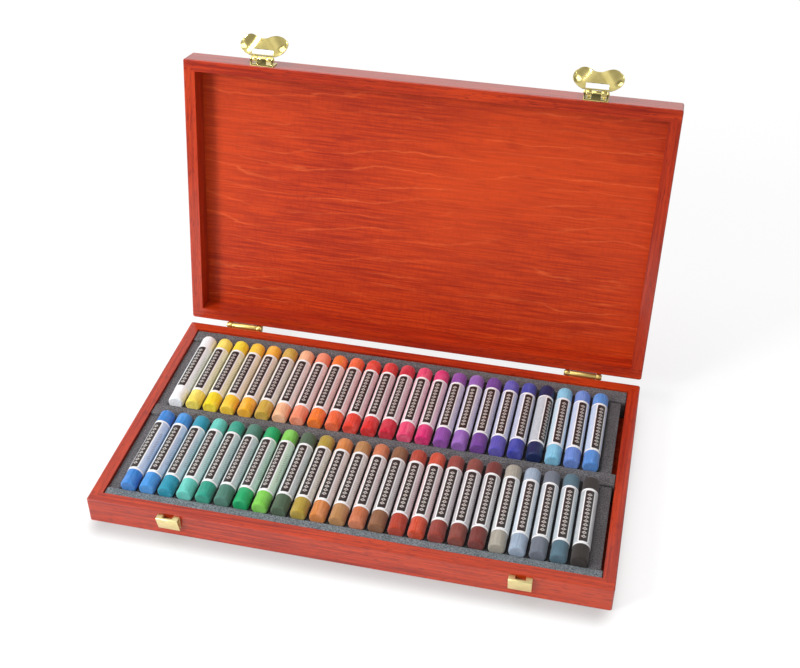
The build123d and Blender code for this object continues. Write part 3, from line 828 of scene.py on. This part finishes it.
# %% Colours and turns
PASTELS = {
    "back": {
        "white_to_yellow": [
            ("white", (0.965, 0.97, 0.98), -6), ("pale yellow", (0.98, 0.89, 0.40), -2),
            ("lemon", (0.99, 0.87, 0.04), 0), ("golden yellow", (0.99, 0.80, 0.18), 0)],
        "gold_to_salmon": [
            ("orange yellow", (0.98, 0.70, 0.12), 1), ("ochre", (0.82, 0.67, 0.28), 2),
            ("peach", (0.98, 0.74, 0.58), 2), ("salmon", (0.97, 0.58, 0.45), 2)],
        "orange_to_red": [
            ("orange", (0.97, 0.47, 0.10), 0), ("coral", (0.95, 0.42, 0.24), 0),
            ("vermilion", (0.90, 0.25, 0.17), 1), ("red", (0.86, 0.15, 0.15), -2)],
        "crimson_to_violet": [
            ("crimson", (0.82, 0.12, 0.23), -4), ("pink", (0.93, 0.32, 0.48), 0),
            ("magenta", (0.87, 0.17, 0.46), -3), ("violet", (0.57, 0.30, 0.66), -6)],
        "violet_to_ultramarine": [
            ("light violet", (0.60, 0.40, 0.74), -5), ("purple", (0.45, 0.25, 0.60), -3),
            ("blue violet", (0.38, 0.34, 0.72), 0), ("ultramarine", (0.25, 0.27, 0.66), 14)],
        "navy_to_blue": [
            ("navy", (0.11, 0.17, 0.35), 42), ("pale sky blue", (0.53, 0.78, 0.90), 10),
            ("cornflower", (0.42, 0.55, 0.84), 14), ("mid blue", (0.37, 0.58, 0.86), 16)],
    },
    "front": {
        "cobalt_to_aqua": [
            ("cobalt", (0.26, 0.53, 0.83), -16), ("blue", (0.29, 0.59, 0.87), -4),
            ("teal", (0.06, 0.58, 0.69), -6), ("aqua", (0.42, 0.81, 0.76), -6)],
        "sea_green_to_lime": [
            ("sea green", (0.20, 0.63, 0.54), -6), ("dull green", (0.30, 0.50, 0.44), -8),
            ("emerald", (0.11, 0.66, 0.41), -6), ("lime", (0.50, 0.81, 0.33), -14)],
        "olive_to_sienna": [
            ("dark olive", (0.30, 0.39, 0.30), -2), ("olive ochre", (0.70, 0.60, 0.24), -2),
            ("tan", (0.83, 0.52, 0.28), 0), ("raw sienna", (0.72, 0.53, 0.34), 0)],
        "terracotta_to_brick": [
            ("terracotta", (0.80, 0.47, 0.32), 0), ("umber", (0.55, 0.37, 0.25), 0),
            ("brick red", (0.70, 0.25, 0.17), 0), ("orange brick", (0.80, 0.29, 0.17), 0)],
        "brown_to_warm_grey": [
            ("brown red", (0.58, 0.25, 0.21), 0), ("red brown", (0.54, 0.27, 0.23), 0),
            ("dark red brown", (0.47, 0.21, 0.19), 2), ("warm grey", (0.67, 0.65, 0.60), 0)],
        "grey_to_black": [
            ("cool grey", (0.62, 0.69, 0.77), 2), ("mid grey", (0.44, 0.47, 0.52), 3),
            ("blue grey", (0.33, 0.45, 0.51), 3), ("black", (0.20, 0.18, 0.17), 4)],
    },
}
print(sum(len(group) for row in PASTELS.values() for group in row.values()), "colours")

# %% [markdown]
# One stick and one sleeve are copied to every place in both rows. The ends of each stick are
# roughened at random, with a seed of its own, so that no two look alike, and its pigment is
# written into its mesh for the finish to read. Two sticks are rubbed and less dusty.

# %% Lay in the pastels
RUBBED = ("navy", "emerald")
ROUGH_ENDS = 0.36 * STICK_LENGTH      # from the stick's middle


def lay_pastel(row, family, number, name, colour, turn):
    """One stick and its sleeve, at their place in the row."""
    place = Vector((FIRST_STICK + number * ROWS[row]["pitch"],
                    ROWS[row]["near"] + STICK_LENGTH / 2, PASTEL_HEIGHT)) * MM
    roll = Matrix.Rotation(math.radians(turn), 4, "Y")
    there = Matrix.Translation(place) @ roll
    label = f"{row}_{number + 1:02d}"
    stick = twin(stick_pattern, "stick_" + label, there)
    sleeve = twin(sleeve_pattern, "sleeve_" + label, there)
    edit(stick)
    pick(stick, "VERT", lambda v: abs(v.co.y - place.y) > ROUGH_ENDS * MM)
    bpy.ops.transform.vertex_random(offset=0.07 * MM, uniform=0.3, normal=0.7,
                                    seed=number + ROWS[row]["seed"])
    done()
    smooth(stick, 60)
    for piece in (stick, sleeve):
        pigment = piece.data.attributes.new("pigment", "FLOAT_COLOR", "POINT")
        pigment.data.foreach_set("color", linear(*colour) * len(piece.data.vertices))
        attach(piece, "pastels_" + family)
    stick.data.materials.append(rubbed_pastel if name in RUBBED else dusty_pastel)
    sleeve.data.materials.append(printed_label)
    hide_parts("sticks_" + family)
    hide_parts("sleeves_" + family)


for row, groups in PASTELS.items():
    for index, (family, colours) in enumerate(groups.items()):
        for offset, (name, colour, turn) in enumerate(colours):
            lay_pastel(row, family, index * len(colours) + offset, name, colour, turn)
remove(stick_pattern)
remove(sleeve_pattern)
print("pastels laid in")

# %% [markdown]
# Both catches have a hasp: a brass plate with a slot, whose two lobes are pressed into
# shallow scoops for a fingertip. The sheet curves both ways there, which flat cuts can't
# give, so a grid is laid out to the outline and its points are lifted by a smooth law, as a
# press tool would lift them. It is made hanging shut, with the pin as its origin.

# %% The hasp's outline
def ease(t):
    """A smooth step from 0 to 1."""
    t = min(max(t, 0.0), 1.0)
    return t * t * (3 - 2 * t)


def spline_points(knots, count):
    """Points at equal steps along a smooth curve through the knots."""
    curve = bpy.data.curves.new("outline", "CURVE")
    curve.dimensions = "3D"
    line = curve.splines.new("BEZIER")
    line.bezier_points.add(len(knots) - 1)
    for point, (x, z) in zip(line.bezier_points, knots):
        point.co = (x, 0, z)
        point.handle_left_type = point.handle_right_type = "AUTO"
    line.resolution_u = 24
    holder = bpy.data.objects.new("outline", curve)
    mesh = bpy.data.meshes.new_from_object(holder)
    path = [v.co.copy() for v in mesh.vertices]
    bpy.data.objects.remove(holder)
    lengths = [0.0]
    for a, b in zip(path, path[1:]):
        lengths.append(lengths[-1] + (b - a).length)
    found, k = [], 0
    for i in range(count):
        target = lengths[-1] * i / (count - 1)
        while k < len(path) - 2 and lengths[k + 1] < target:
            k += 1
        span = lengths[k + 1] - lengths[k]
        found.append(path[k].lerp(path[k + 1], (target - lengths[k]) / span if span else 0))
    return found


ACROSS, DOWN = 31, 27
PLATE_TOP, TOP_HALF_WIDTH = -1.9, 9.0
MIDDLE_DROP = 11.3
OUTER_KNOTS = [(TOP_HALF_WIDTH, PLATE_TOP), (12.4, -3.6), (15.2, -6.4), (16.1, -9.1),
               (15.2, -11.9), (12.8, -13.9)]
LOWER_KNOTS = [(0.0, -12.7), (2.6, -13.1), (5.4, -14.4), (8.8, -15.1), (12.8, -13.9)]
outer_side = spline_points(OUTER_KNOTS, DOWN)
lower_side = spline_points(LOWER_KNOTS, ACROSS)
print("outline", [tuple(round(v, 1) for v in outer_side[i]) for i in (0, DOWN // 2, DOWN - 1)])

# %% [markdown]
# A flat grid is the sheet before it is pressed. Its columns and rows are spread between the
# four sides of half the outline, and each point is then lifted by how far it lies beyond a
# slanting line, along an arc, as the scoop's wall curves up. The other half is its mirror
# image, and Solidify gives both the sheet's thickness.

# %% The pressed sheet
SLOT_HALF = 7.35
SLOT_TOP, SLOT_FOOT = -2.85, -6.15
SCOOP_RADIUS = 12.0
SCOOP_START, SCOOP_TIP = (SLOT_HALF + 0.4, SLOT_TOP), (0.6, -12.6)
SHEET = 0.8


def scoop_height(x, z):
    """How far the press lifts the sheet away from the case at a place on the flat outline."""
    start, tip = Vector(SCOOP_START), Vector(SCOOP_TIP)
    line = (tip - start).normalized()
    beyond = (Vector((x, z)) - start).dot(Vector((-line.y, line.x)))
    lengthwise = (Vector((x, z)) - start).dot(line) / (tip - start).length
    reach = min(max(beyond, 0.0), SCOOP_RADIUS * 0.85)
    lift = SCOOP_RADIUS - math.sqrt(SCOOP_RADIUS ** 2 - reach ** 2)
    fade = ease((lengthwise + 0.25) / 0.5) * (1.0 - 0.35 * ease((lengthwise - 0.65) / 0.7))
    return lift * fade


def pressed_sheet():
    bpy.ops.mesh.primitive_grid_add(x_subdivisions=ACROSS - 1, y_subdivisions=DOWN - 1,
                                    size=16 * MM, location=(8 * MM, 0, 0))
    sheet = begin("hasp_sheet")
    mesh = sheet.data
    xs = sorted({round(v.co.x, 7) for v in mesh.vertices})
    ys = sorted({round(v.co.y, 7) for v in mesh.vertices}, reverse=True)
    column = {value: i for i, value in enumerate(xs)}
    row = {value: i for i, value in enumerate(ys)}
    top = [Vector((TOP_HALF_WIDTH * i / (ACROSS - 1), 0, PLATE_TOP)) for i in range(ACROSS)]
    inner = [Vector((0, 0, PLATE_TOP - MIDDLE_DROP * j / (DOWN - 1))) for j in range(DOWN)]
    for vertex in mesh.vertices:
        i, j = column[round(vertex.co.x, 7)], row[round(vertex.co.y, 7)]
        u, v = i / (ACROSS - 1), j / (DOWN - 1)
        ruled = (1 - v) * top[i] + v * lower_side[i] + (1 - u) * inner[j] + u * outer_side[j]
        corners = ((1 - u) * (1 - v) * top[0] + u * (1 - v) * top[-1]
                   + (1 - u) * v * lower_side[0] + u * v * lower_side[-1])
        point = ruled - corners
        vertex.co = Vector((point.x, -scoop_height(point.x, point.z), point.z)) * MM
    modify(sheet, "MIRROR", use_axis=(True, False, False), merge_threshold=0.01 * MM)
    edit(sheet)
    bpy.ops.mesh.select_all(action="SELECT")
    bpy.ops.mesh.normals_make_consistent(inside=False)
    done()
    modify(sheet, "SOLIDIFY", thickness=SHEET * MM, offset=0.0, use_even_offset=True)
    return sheet


hasp_pattern = pressed_sheet()
print("pressed sheet", len(hasp_pattern.data.polygons), "faces",
      [round(v / MM, 1) for v in hasp_pattern.dimensions])

# %% [markdown]
# The slot is punched out, the edges are rounded off, and the top is rolled into two barrels
# that turn on the pin between the bracket's knuckles.

# %% Slot and barrels
BARREL_FROM, BARREL_TO = 3.15, 6.55
BARREL_OUTER, BARREL_BORE = 1.65, 0.9
TONGUE_HALF = 0.4
slot_punch = add_box("slot_punch", (-SLOT_HALF, -3, SLOT_FOOT), (SLOT_HALF, 3, SLOT_TOP))
modify(hasp_pattern, "BOOLEAN", object=slot_punch, operation="DIFFERENCE", solver="EXACT")
remove(slot_punch)
modify(hasp_pattern, "BEVEL", width=0.16 * MM, segments=2, limit_method="ANGLE",
       angle_limit=math.radians(50))


def barrel(name, low, high, outer, inner):
    """A rolled barrel along the pin, from low to high."""
    bpy.ops.mesh.primitive_cylinder_add(vertices=40, radius=outer * MM, depth=(high - low) * MM,
                                        end_fill_type="NOTHING", rotation=(0, math.pi / 2, 0),
                                        location=((low + high) / 2 * MM, 0, 0))
    rolled = begin(name)
    modify(rolled, "SOLIDIFY", thickness=(outer - inner) * MM, offset=-1.0)
    modify(rolled, "BEVEL", width=0.12 * MM, segments=2, limit_method="ANGLE",
           angle_limit=math.radians(50))
    return rolled


def join(name, pieces):
    """Makes several pieces one, under the first one's material slots."""
    bpy.ops.object.select_all(action="DESELECT")
    for piece in pieces:
        piece.select_set(True)
    bpy.context.view_layer.objects.active = pieces[0]
    bpy.ops.object.join()
    pieces[0].name = pieces[0].data.name = name
    return pieces[0]


neck_parts = [hasp_pattern]
for sign in (-1, 1):
    span = sorted((sign * BARREL_FROM, sign * BARREL_TO))
    neck_parts.append(barrel("hasp_barrel", *span, BARREL_OUTER, BARREL_BORE))
    neck_parts.append(add_box("hasp_tongue", (span[0], -TONGUE_HALF, -2.0),
                              (span[1], TONGUE_HALF, -1.2)))
hasp_pattern = join("hasp_pattern", neck_parts)
smooth(hasp_pattern, 40)
print("hasp", len(hasp_pattern.data.polygons), "faces")

# %% [markdown]
# Each hasp turns on a pin at the front of the lid. It is hung there as if the lid were shut,
# swung up, and then carried back with the lid.

# %% Hang both hasps
CATCH_X = 110
PIN_Y, PIN_Z = -100.6, 20.6
SWUNG_UP = math.radians(-100)
for side, x in (("left", -CATCH_X), ("right", CATCH_X)):
    pin = Vector((x, PIN_Y, PIN_Z)) * MM
    raised = OPEN_LID @ Matrix.Translation(pin) @ Matrix.Rotation(SWUNG_UP, 4, "X")
    hasp = twin(hasp_pattern, f"{side}_hasp_pressed", raised)
    hasp.data.materials.clear()
    hasp.data.materials.append(bright_brass)
    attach(hasp, f"{side}_hasp")
    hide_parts(f"{side}_catch_hasp")
    print(hasp.name, "reaches", round(max(v.co.z for v in hasp.data.vertices), 4))
remove(hasp_pattern)

# %% [markdown]
# Brackets, keepers and hinge leaves are sheet metal with sharp edges. Their CAD shapes are
# right, but real edges are slightly round and catch a line of light. A copy of each is
# merged, bevelled very finely and shown instead.

# %% Soften the folded fittings
def soften(node, body, finish, width):
    """A copy of a CAD piece with fine bevels, freed from the marks of the original."""
    piece = twin(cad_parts[node], node + "_folded", Matrix.Identity(4))
    piece.parent = None
    for key in [k for k in piece.keys() if k.startswith("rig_")]:
        del piece[key]
    edit(piece)
    bpy.ops.mesh.select_all(action="SELECT")
    bpy.ops.mesh.remove_doubles(threshold=0.002 * MM)
    bpy.ops.mesh.dissolve_limited(angle_limit=math.radians(1.0))
    done()
    modify(piece, "BEVEL", width=width * MM, segments=2, limit_method="ANGLE",
           angle_limit=math.radians(40))
    smooth(piece, 35)
    piece.data.materials.clear()
    piece.data.materials.append(finish)
    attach(piece, body)
    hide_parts(node)
    print(piece.name, len(piece.data.polygons), "faces")


for side in ("left", "right"):
    soften(f"{side}_catch_bracket", "lid", bright_brass, 0.12)
    soften(f"{side}_catch_keeper", "case_base", satin_brass, 0.15)
    soften(f"{side}_hinge_base_leaf", "case_base", hinge_brass, 0.10)
    soften(f"{side}_hinge_lid_leaf", "lid", hinge_brass, 0.10)

# %% [markdown]
# The hinges are held by countersunk screws with one straight slot, four in each wall. A
# cylinder is cut at two heights and its rings are narrowed to a head, a shank and a point.
# A box cuts the slot. Nobody lines the slots up, so each screw is turned by its own angle.

# %% Slotted screws
SCREW_DROP = 7.2
SCREW_APART = 6.6
LEAF_FACE = 97.0
HEAD_RADIUS = 1.95
SCREW_LENGTH = 6.3
SLOT_HALF_WIDTH, SLOT_DEPTH = 0.28, 0.5
FIRST_TURN, TURN_STEP = 35, 52


def slotted_screw():
    bpy.ops.mesh.primitive_cylinder_add(vertices=32, radius=HEAD_RADIUS * MM,
                                        depth=SCREW_LENGTH * MM,
                                        location=(0, -SCREW_LENGTH / 2 * MM, 0),
                                        rotation=(math.pi / 2, 0, 0))
    screw = begin("screw_pattern")
    edit(screw)
    for depth in (0.95, 5.0):
        bpy.ops.mesh.select_all(action="SELECT")
        bpy.ops.mesh.bisect(plane_co=(0, -depth * MM, 0), plane_no=(0, 1, 0))
    for depth, narrower in ((0.9, 0.5), (6.2, 0.2)):
        pick(screw, "VERT", lambda v: v.co.y < -depth * MM)
        bpy.ops.transform.resize(value=(narrower, 1, narrower), center_override=(0, 0, 0))
    done()
    slot_cutter = add_box("slot_cutter", (-2.5, -SLOT_DEPTH, -SLOT_HALF_WIDTH),
                          (2.5, SLOT_DEPTH, SLOT_HALF_WIDTH))
    modify(screw, "BOOLEAN", object=slot_cutter, operation="DIFFERENCE", solver="EXACT")
    remove(slot_cutter)
    modify(screw, "BEVEL", width=0.07 * MM, segments=2, limit_method="ANGLE",
           angle_limit=math.radians(40))
    smooth(screw, 35)
    return screw


screw_pattern = slotted_screw()
hinge_x = abs(sum(corner.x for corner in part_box("right_hinge_base_leaf"))) / 2 / MM
for wall, up, body, node in (("base", -1, "case_base", "base_hinge_screws"),
                             ("lid", 1, "lid", "lid_hinge_screws")):
    for number, x in enumerate((-hinge_x - SCREW_APART, -hinge_x + SCREW_APART,
                                hinge_x - SCREW_APART, hinge_x + SCREW_APART)):
        seat = Vector((x, LEAF_FACE, HINGE.z / MM + up * SCREW_DROP)) * MM
        angle = math.radians(FIRST_TURN + TURN_STEP * number * up)
        turned = Matrix.Translation(seat) @ Matrix.Rotation(angle, 4, "Y")
        screw = twin(screw_pattern, f"{wall}_hinge_screw_{number + 1}",
                     OPEN_LID @ turned if body == "lid" else turned)
        screw.data.materials.append(hinge_brass)
        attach(screw, body)
        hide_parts(node)
remove(screw_pattern)
print("eight slotted screws, hinges at", round(hinge_x, 1))
